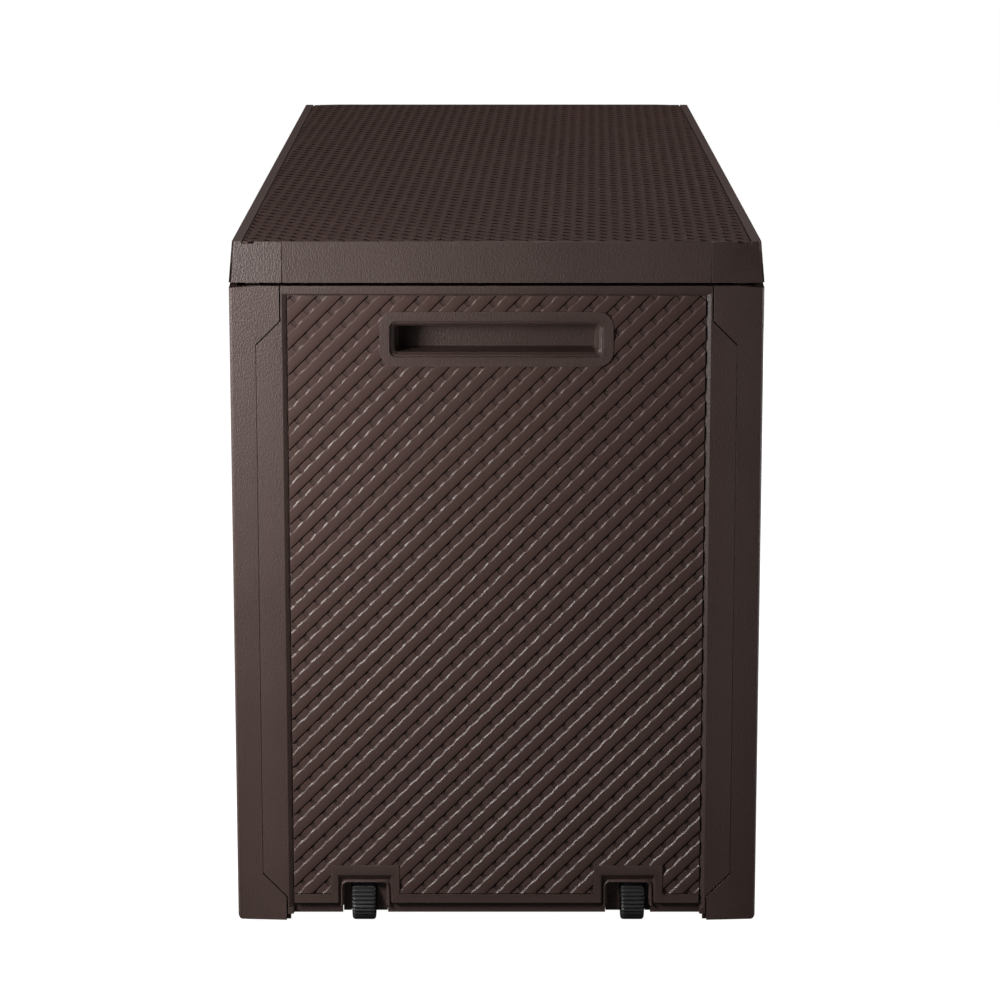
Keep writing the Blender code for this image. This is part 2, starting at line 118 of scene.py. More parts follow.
soft_box("near_key", (1.35, -0.55, 0.78), (0.6, -0.25, 0.55), (0.35, 0.35), 0.18, spread=70)
soft_box("edge_box", (1.12, -0.72, 0.62), (0.6, 0.10, 0.12), (0.3, 0.3), 11)
soft_box("right_fill", (1.1, 1.3, 0.45), (0.6, 0.05, 0.25), (0.5, 0.5), 2.2)
soft_box("lid_box", (-0.25, 0.0, 3.2), (-0.25, 0.0, 0.6), (1.2, 1.2), 46)
soft_box("right_strip", (0.1, 2.0, 0.35), (0.6, 0.2, 0.3), (0.35, 1.2), 28)
soft_box("front_fill", (-0.3, -2.4, 0.32), (-0.1, 0.0, 0.3), (1.6, 0.5), 12)
soft_box("plain_end_fill", (-2.6, 0.8, 0.32), (-0.6, 0.1, 0.3), (1.0, 0.5), 10)


def studio_floor():
    """A pale floor that reads as white and sends little light back up."""
    mesh = bpy.data.meshes.new("studio_floor")
    half = 40.0
    corners = [(-half, -half, 0.0), (half, -half, 0.0), (half, half, 0.0), (-half, half, 0.0)]
    mesh.from_pydata(corners, [], [(0, 1, 2, 3)])
    floor = bpy.data.objects.new("studio_floor", mesh)
    scene.collection.objects.link(floor)
    made = bpy.data.materials.new("studio_floor")
    made.use_nodes = True
    tree = made.node_tree
    shader = tree.nodes["Principled BSDF"]
    shader.inputs["Roughness"].default_value = 0.9
    shader.inputs["Specular IOR Level"].default_value = 0.1
    path = add_node(tree, "ShaderNodeLightPath")
    cloud = add_node(tree, "ShaderNodeTexNoise", {"Scale": 3.0, "Detail": 2.0})
    seen = add_node(
        tree, "ShaderNodeMapRange", {"Value": cloud.outputs["Fac"], "To Min": 0.34, "To Max": 0.36}
    )
    albedo = add_node(
        tree,
        "ShaderNodeMapRange",
        {"Value": path.outputs["Is Camera Ray"], "To Min": 0.12, "To Max": seen.outputs[0]},
    )
    tree.links.new(albedo.outputs[0], shader.inputs["Base Color"])
    shader.inputs["Emission Color"].default_value = (1, 1, 1, 1)
    tree.links.new(path.outputs["Is Camera Ray"], shader.inputs["Emission Strength"])
    mesh.materials.append(made)


studio_floor()

# ------------------------------------------------------------------ end walls
# Two injection moulded panels of brown resin, with a basket relief moulded into a sunk field and
# plain borders round it. Each has a recessed handle, and their flanges snap into the corner posts.


def moulded_grain():
    """The fine leather grain that the mould's plain faces leave, the resin's soft mottle, and a
    mask of sharp convex edges for a painted highlight.
    """
    group = bpy.data.node_groups.new("moulded_grain", "ShaderNodeTree")
    size = group.interface.new_socket("Grain Size", in_out="INPUT", socket_type="NodeSocketFloat")
    size.default_value = 0.0013
    for label in ("Height", "Mottle", "Painted Edge Highlight"):
        group.interface.new_socket(label, in_out="OUTPUT", socket_type="NodeSocketFloat")
    given = add_node(group, "NodeGroupInput")
    result = add_node(group, "NodeGroupOutput")
    place = add_node(group, "ShaderNodeTexCoord")
    density = add_node(
        group, "ShaderNodeMath", {0: 1.0, 1: given.outputs["Grain Size"]}, operation="DIVIDE"
    )
    scaled = add_node(
        group,
        "ShaderNodeVectorMath",
        {0: place.outputs["Object"], "Scale": density.outputs[0]},
        operation="SCALE",
    )
    tall = add_node(
        group, "ShaderNodeVectorMath", {0: scaled.outputs[0], 1: (1, 1, 0.45)}, operation="MULTIPLY"
    )
    pebble = add_node(group, "ShaderNodeTexVoronoi", {"Vector": tall.outputs[0], "Scale": 1.0})
    fine = add_node(
        group, "ShaderNodeTexNoise", {"Vector": tall.outputs[0], "Scale": 1.7, "Detail": 3.0}
    )
    height = add_node(
        group,
        "ShaderNodeMath",
        {0: pebble.outputs["Distance"], 1: fine.outputs["Fac"]},
        operation="ADD",
    )
    broad = add_node(
        group,
        "ShaderNodeTexNoise",
        {"Vector": place.outputs["Object"], "Scale": 9.0, "Detail": 5.0, "Roughness": 0.65},
    )
    mottle = add_node(
        group,
        "ShaderNodeMapRange",
        {"Value": broad.outputs["Fac"], "From Min": 0.3, "From Max": 0.7},
    )
    speckle = add_node(
        group, "ShaderNodeMath", {0: mottle.outputs[0], 1: 0.55}, operation="MULTIPLY"
    )
    grainy = add_node(
        group,
        "ShaderNodeMath",
        {0: fine.outputs["Fac"], 1: 0.7, 2: speckle.outputs[0]},
        operation="MULTIPLY_ADD",
    )
    # Painted highlight: sharp convex edges, found by their pointiness, get a mask that lightens
    # their colour.
    shape = add_node(group, "ShaderNodeNewGeometry")
    painted_edge_highlight = add_node(
        group,
        "ShaderNodeMapRange",
        {"Value": shape.outputs["Pointiness"], "From Min": 0.52, "From Max": 0.62},
    )
    group.links.new(height.outputs[0], result.inputs["Height"])
    group.links.new(grainy.outputs[0], result.inputs["Mottle"])
    group.links.new(painted_edge_highlight.outputs[0], result.inputs["Painted Edge Highlight"])
    return group


grain_group = moulded_grain()


def blend_colour(tree, amount, first, second):
    """A colour between two, by a mask."""
    made = tree.nodes.new("ShaderNodeMix")
    made.data_type = "RGBA"
    tree.links.new(amount, made.inputs["Factor"])
    for socket, value in zip([s for s in made.inputs if s.type == "RGBA"], (first, second)):
        if isinstance(value, bpy.types.NodeSocket):
            tree.links.new(value, socket)
        else:
            socket.default_value = (*value, 1)
    return [s for s in made.outputs if s.type == "RGBA"][0]


def plain_resin(name, dark, light, edge_highlight, size, bump, roughness):
    """Resin with a moulded grain and a painted highlight on its sharp edges. roughness is its least
    and its most.
    """
    made = bpy.data.materials.new(name)
    made.use_nodes = True
    tree = made.node_tree
    shader = tree.nodes["Principled BSDF"]
    shader.inputs["IOR"].default_value = 1.48
    grain = add_node(tree, "ShaderNodeGroup", node_tree=grain_group)
    grain.inputs["Grain Size"].default_value = size
    body = blend_colour(tree, grain.outputs["Mottle"], dark, light)
    # Painted highlight: sharp convex edges take the lighter colour.
    colour = blend_colour(tree, grain.outputs["Painted Edge Highlight"], body, edge_highlight)
    tree.links.new(colour, shader.inputs["Base Color"])
    low, high = roughness
    dull = add_node(
        tree,
        "ShaderNodeMapRange",
        {"Value": grain.outputs["Mottle"], "To Min": low, "To Max": high},
    )
    tree.links.new(dull.outputs[0], shader.inputs["Roughness"])
    relief = add_node(
        tree,
        "ShaderNodeBump",
        {"Height": grain.outputs["Height"], "Strength": bump, "Distance": 0.0003},
    )
    tree.links.new(relief.outputs[0], shader.inputs["Normal"])
    return made


brown_dark = (0.041, 0.0232, 0.0190)
brown_light = (0.059, 0.0342, 0.0285)
# A lighter brown painted on sharp edges as a highlight.
brown_edge_highlight = (0.085, 0.054, 0.047)
plain_brown = plain_resin(
    "plain_brown_resin", brown_dark, brown_light, brown_edge_highlight, 0.0011, 0.6, (0.40, 0.54)
)


def strand_fibre():
    """Fine fibres along each strand and a faint cross hatch, from the strand's own coordinates."""
    group = bpy.data.node_groups.new("strand_fibre", "ShaderNodeTree")
    for label in ("Height", "Shade"):
        group.interface.new_socket(label, in_out="OUTPUT", socket_type="NodeSocketFloat")
    width = group.interface.new_socket("Fibre Width", in_out="INPUT", socket_type="NodeSocketFloat")
    width.default_value = 0.0008
    given = add_node(group, "NodeGroupInput")
    result = add_node(group, "NodeGroupOutput")
    strand = add_node(group, "ShaderNodeAttribute", attribute_name="strand")
    density = add_node(
        group, "ShaderNodeMath", {0: 1.0, 1: given.outputs["Fibre Width"]}, operation="DIVIDE"
    )
    scaled = add_node(
        group,
        "ShaderNodeVectorMath",
        {0: strand.outputs["Vector"], "Scale": density.outputs[0]},
        operation="SCALE",
    )
    stretched = add_node(
        group,
        "ShaderNodeVectorMath",
        {0: scaled.outputs[0], 1: (0.09, 1, 1)},
        operation="MULTIPLY",
    )
    hatched = add_node(
        group,
        "ShaderNodeVectorMath",
        {0: scaled.outputs[0], 1: (0.9, 0.22, 1)},
        operation="MULTIPLY",
    )
    fibre = add_node(
        group, "ShaderNodeTexNoise", {"Vector": stretched.outputs[0], "Scale": 1.0, "Detail": 3.0}
    )
    hatch = add_node(
        group, "ShaderNodeTexNoise", {"Vector": hatched.outputs[0], "Scale": 1.0, "Detail": 2.0}
    )
    height = add_node(
        group,
        "ShaderNodeMath",
        {0: hatch.outputs["Fac"], 1: 0.6, 2: fibre.outputs["Fac"]},
        operation="MULTIPLY_ADD",
    )
    shade = add_node(
        group,
        "ShaderNodeMapRange",
        {"Value": height.outputs[0], "From Min": 0.55, "From Max": 1.05},
    )
    group.links.new(height.outputs[0], result.inputs["Height"])
    group.links.new(shade.outputs[0], result.inputs["Shade"])
    return group


fibre_group = strand_fibre()


def woven_resin(name, dark, light, edge_highlight, painted_shade_full_below, painted_shade_gone_above, gloss):
    """Resin with the basket relief, with painted shade in its recesses: dark and dull up to one
    height, in full colour from another.
    """
    made = bpy.data.materials.new(name)
    made.use_nodes = True
    tree = made.node_tree
    shader = tree.nodes["Principled BSDF"]
    shader.inputs["IOR"].default_value = 1.48
    fibre = add_node(tree, "ShaderNodeGroup", node_tree=fibre_group)
    grain = add_node(tree, "ShaderNodeGroup", node_tree=grain_group)
    body = blend_colour(tree, fibre.outputs["Shade"], dark, light)
    mottled = blend_colour(tree, grain.outputs["Mottle"], dark, body)
    depth = add_node(tree, "ShaderNodeAttribute", attribute_name="proud")
    # Painted shade: the colour darkens towards the bottom of the relief's recesses, and the same
    # mask makes them duller.
    shade_and_dullness_mask = add_node(
        tree,
        "ShaderNodeMapRange",
        {"Value": depth.outputs["Fac"], "From Min": painted_shade_full_below, "From Max": painted_shade_gone_above},
    )
    # The painted shade colour in the recesses.
    sunk = tuple(0.55 * part for part in dark)
    shaded = blend_colour(tree, shade_and_dullness_mask.outputs[0], sunk, mottled)
    # Painted highlight: sharp convex edges take the lighter colour.
    colour = blend_colour(tree, grain.outputs["Painted Edge Highlight"], shaded, edge_highlight)
    tree.links.new(colour, shader.inputs["Base Color"])
    shader.inputs["Specular IOR Level"].default_value = gloss
    strap_dull = add_node(
        tree,
        "ShaderNodeMapRange",
        {"Value": fibre.outputs["Shade"], "To Min": 0.46, "To Max": 0.32},
    )
    dull = add_node(
        tree,
        "ShaderNodeMapRange",
        {"Value": shade_and_dullness_mask.outputs[0], "To Min": 0.85, "To Max": strap_dull.outputs[0]},
    )
    tree.links.new(dull.outputs[0], shader.inputs["Roughness"])
    relief = add_node(
        tree,
        "ShaderNodeBump",
        {"Height": fibre.outputs["Height"], "Strength": 0.6, "Distance": 0.00025},
    )
    tree.links.new(relief.outputs[0], shader.inputs["Normal"])
    return made


woven_brown = woven_resin(
    "woven_brown_resin",
    (0.060, 0.0342, 0.0290),
    (0.087, 0.0507, 0.0430),
    brown_edge_highlight,
    # Relief heights below which the painted shade is full and above which it is gone.
    0.05,
    0.48,
    0.40,
)

sharp_corner = math.radians(28)


def loft(name, *loops):
    """A closed solid through a row of loops of points."""
    shape = bmesh.new()
    rings = [[shape.verts.new(p) for p in loop] for loop in loops]
    shape.faces.new(rings[0])
    shape.faces.new(rings[-1][::-1])
    for near, far in zip(rings, rings[1:]):
        for i in range(len(near)):
            j = (i + 1) % len(near)
            shape.faces.new((near[i], near[j], far[j], far[i]))
    bmesh.ops.recalc_face_normals(shape, faces=shape.faces)
    mesh = bpy.data.meshes.new(name)
    shape.to_mesh(mesh)
    shape.free()
    return bpy.data.objects.new(name, mesh)


def moulding(name, node, body, finish, rounding, adds=(), cuts=()):
    """A resin part with the frame's shape, cut and added to, and its edges rounded."""
    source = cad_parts[node].data
    shape = bmesh.new()
    corners = [shape.verts.new(v.co) for v in source.vertices]
    for face in source.polygons:
        shape.faces.new([corners[i] for i in face.vertices])
    bmesh.ops.remove_doubles(shape, verts=shape.verts, dist=0.00001)
    mesh = bpy.data.meshes.new(name)
    shape.to_mesh(mesh)
    shape.free()
    made = bpy.data.objects.new(name, mesh)
    scene.collection.objects.link(made)
    helpers = []
    for operation, others in (("UNION", adds), ("DIFFERENCE", cuts)):
        for other in others:
            scene.collection.objects.link(other)
            helpers.append(other)
            step = made.modifiers.new(other.name, "BOOLEAN")
            step.operation = operation
            step.solver = "EXACT"
            step.object = other
    graph = bpy.context.evaluated_depsgraph_get()
    shape = bmesh.new()
    shape.from_object(made, graph)
    made.modifiers.clear()
    for other in helpers:
        bpy.data.objects.remove(other)
    bmesh.ops.remove_doubles(shape, verts=shape.verts, dist=0.00002)
    bmesh.ops.dissolve_limit(
        shape, angle_limit=math.radians(0.6), verts=shape.verts, edges=shape.edges
    )
    edges = [
        e
        for e in shape.edges
        if len(e.link_faces) == 2
        and e.calc_face_angle(0.0) > sharp_corner
        and e.calc_length() > 2.5 * rounding
    ]
    bmesh.ops.bevel(
        shape,
        geom=edges,
        offset=rounding,
        offset_type="OFFSET",
        segments=2,
        profile=0.5,
        affect="EDGES",
        clamp_overlap=False,
    )
    for face in shape.faces:
        face.smooth = True
    shape.to_mesh(mesh)
    shape.free()
    mesh.materials.clear()
    mesh.materials.append(finish)
    made.modifiers.new("even_normals", "WEIGHTED_NORMAL")
    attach(made, body)
    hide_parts(node)
    return made


# The relief on every panel: straps at 45 degrees with crossing strands in the gaps. The strands
# on the walls are given as the gap between two, their height and the height in the gap.
strap_pitch = 0.015185
strap_width = 0.0092
strap_phase = 0.00863
cross_pitch = 0.0144
cross_phase = 0.0135
wall_strands = (0.0030, 0.50, 0.18)
edge_wave = 0.0004
edge_bevel = 0.0012
relief_clearance = 0.0008
root_two = math.sqrt(2)


def rounded_reach(a, b, low, high, radius):
    """How far points lie outside a rounded rectangle, below zero inside it."""
    middle = [(s + e) / 2 for s, e in zip(low, high)]
    half = [(e - s) / 2 - radius for s, e in zip(low, high)]
    da = np.abs(a - middle[0]) - half[0]
    db = np.abs(b - middle[1]) - half[1]
    outside = np.hypot(np.maximum(da, 0), np.maximum(db, 0))
    return outside + np.minimum(np.maximum(da, db), 0) - radius


def basket_relief(names, body, panel, size, relief, strands, finish, openings=()):
    """The moulded weave over one field, which stays clear of its rounded openings.

    panel is the field's lower left corner and its directions right, up and out.
    """
    strand_gap, strand_level, gap_level = strands
    origin, right, up, out = (np.array(v, float) for v in panel)
    width, height = size
    strap_half = strap_width / 2
    # Offset across the strap, height and part in the edge's wave, for each line along a strap
    lines = (
        (-strap_half - 0.0009, "strand", 0),
        (-strap_half - 0.0007, 0.03, 0),
        (-strap_half - 0.0001, 0.03, 0),
        (-strap_half + 0.0002, 0.88, 0),
        (-strap_half + 0.0010, 1.0, 0),
        (0.0, 1.03, 0),
        (strap_half - edge_bevel, 0.99, 0.9),
        (strap_half, 0.52, 1.0),
        (strap_half + 0.0003, "strand", 0.8),
        (strap_half + 0.0028, "strand", 0),
    )
    steps = (
        (-strand_gap / 2 - 0.0003, strand_level - 0.04),
        (-strand_gap / 2, gap_level),
        (strand_gap / 2, gap_level),
        (strand_gap / 2 + 0.0003, strand_level - 0.04),
        (cross_pitch * 0.45, strand_level + 0.04),
        (cross_pitch * 0.55, strand_level + 0.04),
    )
    first = math.floor(-width / root_two / strap_pitch) - 1
    last = math.ceil(height / root_two / strap_pitch) + 1
    far = math.ceil((width + height) / root_two / cross_pitch) + 1
    straps = np.arange(first, last + 1)
    crosses = np.arange(-1, far + 1)
    across = (straps[:, None] * strap_pitch + [line[0] for line in lines]).ravel() + strap_phase
    along = (crosses[:, None] * cross_pitch + [step[0] for step in steps]).ravel() + cross_phase
    in_wave = np.tile([line[2] for line in lines], len(straps)).astype(float)
    strand = np.tile([step[1] for step in steps], len(crosses))
    level = np.empty((len(across), len(along)))
    for i, line in enumerate(lines):
        rows = strand if line[1] == "strand" else np.full(len(along), line[1])
        level[i :: len(lines)] = rows
    turn = 2 * math.pi / cross_pitch
    sway = np.cos(turn * along[None, :] + 2.4 * np.sin(across[:, None] * 31.0) + 0.7)
    u = across[:, None] + edge_wave * in_wave[:, None] * sway
    v = np.broadcast_to(along[None, :], u.shape)
    a = (v - u) / root_two
    b = (v + u) / root_two
    h = 0.0001 + relief * level
    count = len(along)
    index = np.arange(len(across) * count).reshape(len(across), count)
    corners = [index[:-1, :-1], index[:-1, 1:], index[1:, 1:], index[1:, :-1]]
    quads = np.stack(corners, -1).reshape(-1, 4)
    flat_a, flat_b, flat_h = a.ravel(), b.ravel(), h.ravel()
    low, high = relief_clearance, (width - relief_clearance, height - relief_clearance)
    in_a = flat_a[quads]
    in_b = flat_b[quads]
    keep = (in_a.max(1) > low) & (in_a.min(1) < high[0])
    keep &= (in_b.max(1) > low) & (in_b.min(1) < high[1])
    for corner, far_corner, radius in openings:
        reach = rounded_reach(in_a, in_b, corner, far_corner, radius)
        keep &= reach.max(1) > -0.003
    quads = quads[keep]
    line_of = np.repeat(np.arange(len(across)) % len(lines), count)
    on_strand = np.isin(line_of[quads[:, 0]], (8, 9))
    middle_a = flat_a[quads].mean(1)
    share = width / len(names)
    for part, name in enumerate(names):
        chosen = (middle_a >= part * share - (part == 0)) & (
            middle_a < (part + 1) * share + (part == len(names) - 1)
        )
        sheet = quads[chosen]
        used, local = np.unique(sheet, return_inverse=True)
        local = local.reshape(-1, 4)
        points = np.stack([flat_a[used], flat_b[used], flat_h[used]], 1)
        mesh = bpy.data.meshes.new(name)
        mesh.from_pydata(points.tolist(), [], local.tolist())
        proud = mesh.attributes.new("proud", "FLOAT", "POINT")
        proud.data.foreach_set("value", flat_h[used] / relief)
        lanes = mesh.attributes.new("strand", "FLOAT_VECTOR", "CORNER")
        flat_u = u.ravel()[sheet].ravel()
        flat_v = v.ravel()[sheet].ravel()
        crossing = np.repeat(on_strand[chosen], 4)
        lane = np.zeros((len(flat_u), 3))
        lane[:, 0] = np.where(crossing, flat_u + 3.1, flat_v)
        lane[:, 1] = np.where(crossing, flat_v, flat_u)
        lanes.data.foreach_set("vector", lane.ravel())
        shape = bmesh.new()
        shape.from_mesh(mesh)
        for axis, limit, sign in ((0, low, -1), (0, high[0], 1), (1, low, -1), (1, high[1], 1)):
            near = [
                f
                for f in shape.faces
                if any(sign * (c.co[axis] - limit) > 0 for c in f.verts)
            ]
            geom = set(near)
            for face in near:
                geom.update(face.edges)
                geom.update(face.verts)
            normal = [0.0, 0.0, 0.0]
            normal[axis] = sign
            point = [0.0, 0.0, 0.0]
            point[axis] = limit
            bmesh.ops.bisect_plane(
                shape, geom=list(geom), dist=1e-7, plane_co=point, plane_no=normal, clear_outer=True
            )
        rim = [e for e in shape.edges if e.is_boundary]
        made = bmesh.ops.extrude_edge_only(shape, edges=rim)["geom"]
        for vertex in made:
            if isinstance(vertex, bmesh.types.BMVert):
                vertex.co.z = -0.0001
        for face in shape.faces:
            face.smooth = True
        for vertex in shape.verts:
            x, y, z = vertex.co
            vertex.co = Vector(origin + right * x + up * y + out * z)
        shape.to_mesh(mesh)
        shape.free()
        mesh.set_sharp_from_angle(angle=math.radians(32))
        mesh.materials.append(finish)
        piece = bpy.data.objects.new(name, mesh)
        scene.collection.objects.link(piece)
        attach(piece, body)


wheel_end_low, wheel_end_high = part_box("wheel_end_wall")
field_floor = wheel_end_high.x - 0.0028
field_half = wheel_end_high.y - 0.0260
field_low = wheel_end_low.z + 0.0177
field_high = wheel_end_high.z - 0.0078
field_size = (2 * field_half, field_high - field_low)
strip_low = field_low - 0.0080
border_slope = 0.0038
top_slope = 0.0016
slope_drop = 0.0022
panel_relief = 0.0021


def rounded_loop(half_a, half_b, radius, middle, depth, place, steps=6):
    """A rounded rectangle of points at one depth."""
    points = []
    for sign_a, sign_b, start in ((1, 1, 0), (-1, 1, 90), (-1, -1, 180), (1, -1, 270)):
        for step in range(steps + 1):
            t = math.radians(start + 90 * step / steps)
            a = middle[0] + sign_a * (half_a - radius) + radius * math.cos(t)
            b = middle[1] + sign_b * (half_b - radius) + radius * math.sin(t)
            points.append(place(a, b, depth))
    return points


def rectangle(low_a, low_b, high_a, high_b, depth, place):
    """The corners of a rectangle at one depth."""
    corners = ((low_a, low_b), (high_a, low_b), (high_a, high_b), (low_a, high_b))
    return [place(a, b, depth) for a, b in corners]


def field_slopes(half, low, high, place):
    """The cutter for the slopes that lead down from the borders into the sunk field."""
    over = 0.001
    wide = border_slope * (1 + over / slope_drop)
    tall = top_slope * (1 + over / slope_drop)
    deep = slope_drop * (1 + over / border_slope)

    def section(side, b, out_b):
        a = side * (half - over)
        outside = side * (half + wide)
        return [
            place(a, b - over * out_b, deep),
            place(a, b - over * out_b, -over),
            place(outside, b + tall * out_b, -over),
        ]

    return loft(
        "field_slopes",
        section(-1, low, 0),
        section(-1, high, 1),
        section(1, high, 1),
        section(1, low, 0),
    )


def wheel_arch(name, middle, place):
    """The rounded lip that is moulded round a wheel opening, with soft upper corners."""
    half = 0.0195
    top = 0.0384
    corner = 0.0042
    foot = strip_low - 0.0030
    turns = (0.3, 0.6, 0.9, 1.2)
    bend_a, bend_b = half - corner, top - corner
    # Place along the lip, and the way out from the opening in degrees
    path = [(-half, foot, 180), (-half, bend_b, 180)]
    for t in turns:
        a, b = corner * math.cos(t), corner * math.sin(t)
        path.append((-half + corner - a, bend_b + b, 180 - math.degrees(t)))
    path += [(-half + corner, top, 90), (bend_a, top, 90)]
    for t in turns:
        a, b = corner * math.sin(t), corner * math.cos(t)
        path.append((bend_a + a, bend_b + b, 90 - math.degrees(t)))
    path += [(half, bend_b, 0), (half, foot, 0)]
    # Distance out from the opening and depth behind the face, round the bead
    bead = [(-0.0013, 0.0068), (-0.0013, 0.0050), (0.0, 0.0042), (0.0, 0.0026)]
    bead += [(0.00025, 0.0020), (0.0007, 0.0017), (0.0013, 0.0018)]
    bead += [(0.0019, 0.0024), (0.0024, 0.0034), (0.0024, 0.0068)]
    loops = []
    for a, b, way in path:
        out_a, out_b = math.cos(math.radians(way)), math.sin(math.radians(way))
        loops.append([place(middle + a + out_a * w, b + out_b * w, d) for w, d in bead])
    made = loft(name, *loops)
    scene.collection.objects.link(made)
    for face in made.data.polygons:
        face.use_smooth = True
    made.data.set_sharp_from_angle(angle=math.radians(50))
    made.data.materials.append(plain_brown)
    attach(made, "box_body")


def end_panel(label, end, notches):
    """One end wall: sloped field edges, a two-stage handle, and lips round any wheel notches."""
    face = end * wheel_end_high.x

    def place(y, z, depth):
        return (face - end * depth, end * y, z)

    cuts = [field_slopes(field_half, strip_low - 0.004, field_high, place)]
    strip_half = field_half - 0.0004
    strip = (-strip_half, strip_low - 0.05, strip_half, strip_low + 0.0003)
    cuts.append(
        loft("low_strip", rectangle(*strip, -0.001, place), rectangle(*strip, 0.0054, place))
    )
    handle = (0.0, wheel_end_high.z - 0.0453)
    adds = [
        loft(
            "handle_filler",
            rounded_loop(0.0915, 0.0165, 0.005, handle, 0.0016, place),
            rounded_loop(0.0890, 0.0155, 0.005, handle, 0.0296, place),
        )
    ]
    cuts.append(
        loft(
            "handle_throat",
            rounded_loop(0.0912, 0.0162, 0.0060, handle, -0.001, place),
            rounded_loop(0.0862, 0.0112, 0.0036, handle, 0.0042, place),
        )
    )
    cuts.append(
        loft(
            "handle_pocket",
            rounded_loop(0.0864, 0.0114, 0.0038, handle, 0.0030, place),
            rounded_loop(0.0835, 0.0098, 0.0030, handle, 0.0270, place),
        )
    )
    openings = [
        (
            (field_half - 0.0985, handle[1] - 0.0235 - field_low),
            (field_half + 0.0985, handle[1] + 0.0235 - field_low),
            0.013,
        )
    ]
    for middle in notches:
        cuts.append(
            loft(
                "hood_bevel",
                rectangle(middle - 0.0238, -0.01, middle + 0.0238, 0.0466, -0.0006, place),
                rectangle(middle - 0.0218, -0.01, middle + 0.0218, 0.0414, 0.0034, place),
            )
        )
        openings.append(
            (
                (field_half + middle - 0.0298, -0.02),
                (field_half + middle + 0.0298, 0.0544 - field_low),
                0.0005,
            )
        )
        wheel_arch(f"{label}_arch_{len(openings) - 1}", middle, place)
    moulding(
        f"{label}_moulding", label, "box_body", plain_brown, 0.00028, adds=adds, cuts=cuts
    )
    panel = (
        (end * field_floor, -end * field_half, field_low),
        (0, end, 0),
        (0, 0, 1),
        (end, 0, 0),
    )
    basket_relief(
        [f"{label}_weave"],
        "box_body",
        panel,
        field_size,
        panel_relief,
        wall_strands,
        woven_brown,
        openings,
    )


end_panel("wheel_end_wall", 1, (-0.1141, 0.1141))
end_panel("plain_end_wall", -1, ())

# ------------------------------------------------------------------ long walls
# The front and back panels of the same resin. Their ends wrap round the corners as posts and run
# down to the feet. The front one has a finger scoop, the back one carries the hinges.

front_low, front_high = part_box("front_wall")


def long_panel(label, side):
    """One long wall, with its post tops sloped down outwards and its feet rounded."""
    post_margin = 0.0485
    half = front_high.x - post_margin
    face = side * abs(front_low.y)

    def place(x, z, depth):
        return (-side * x, face - side * depth, z)

    cuts = [field_slopes(half, field_low - 0.004, field_high, place)]
    openings = []
    if side < 0:
        openings.append(
            (
                (half - 0.0735, front_high.z - 0.0325 - field_low),
                (half + 0.0735, front_high.z + 0.03 - field_low),
                0.013,
            )
        )
    outer = abs(front_low.y)
    slope_run = 0.026
    foot_round = 0.0042
    wheel_end_foot = 0.0050
    for end in (-1, 1):
        corner = [
            (end * (front_high.x - slope_run), side * (outer + 0.001), 0.0001),
            (end * (front_high.x + 0.001), side * (outer + 0.001), -0.0027),
            (end * (front_high.x + 0.001), side * (outer - slope_run), 0.0001),
        ]
        low = [(x, y, front_high.z + drop) for x, y, drop in corner]
        high = [(x, y, front_high.z + 0.004) for x, y, _ in low]
        cuts.append(loft("post_top_slope", low, high))
        foot = wheel_end_foot if end > 0 else 0.0
        arc = []
        for t in (0.0, 0.4, 0.8, 1.2, math.pi / 2):
            in_from_side = foot_round * (1 - math.sin(t))
            arc.append((outer - in_from_side, foot + foot_round * (1 - math.cos(t))))
        arc.append((outer + 0.002, foot + foot_round))
        arc.append((outer + 0.002, foot - 0.002))
        arc.append((outer - foot_round, foot - 0.002))
        cuts.append(
            loft(
                "foot_corner",
                [(end * 0.53, side * y, z) for y, z in arc],
                [(end * 0.62, side * y, z) for y, z in arc],
            )
        )
    moulding(f"{label}_moulding", label, "box_body", plain_brown, 0.00028, cuts=cuts)
    panel = (
        (side * half, face - side * 0.0028, field_low),
        (-side, 0, 0),
        (0, 0, 1),
        (0, side, 0),
    )
    size = (2 * half, field_size[1])
    names = [f"{label}_weave_{part}" for part in ("first_half", "second_half")]
    basket_relief(
        names, "box_body", panel, size, panel_relief, wall_strands, woven_brown, openings
    )


long_panel("front_wall", -1)
long_panel("back_wall", 1)

# ------------------------------------------------------------------ floor tray
# A ribbed tray of the same resin that drops onto ledges on the long walls. The cheeks under its
# wheeled end carry the two axles.

moulding("base_floor_moulding", "base_floor", "box_body", plain_brown, 0.0005)

# ------------------------------------------------------------------ wheels and axles
# Two small black resin wheels with cross ribs moulded into the tread, turning on steel pins.

black_resin = plain_resin(
    "black_wheel_resin",
    (0.018, 0.018, 0.018),
    (0.032, 0.032, 0.032),
    # The lighter grey painted on the wheels' sharp edges as a highlight.
    (0.06, 0.06, 0.06),
    0.0010,
    0.4,
    (0.30, 0.45),
)


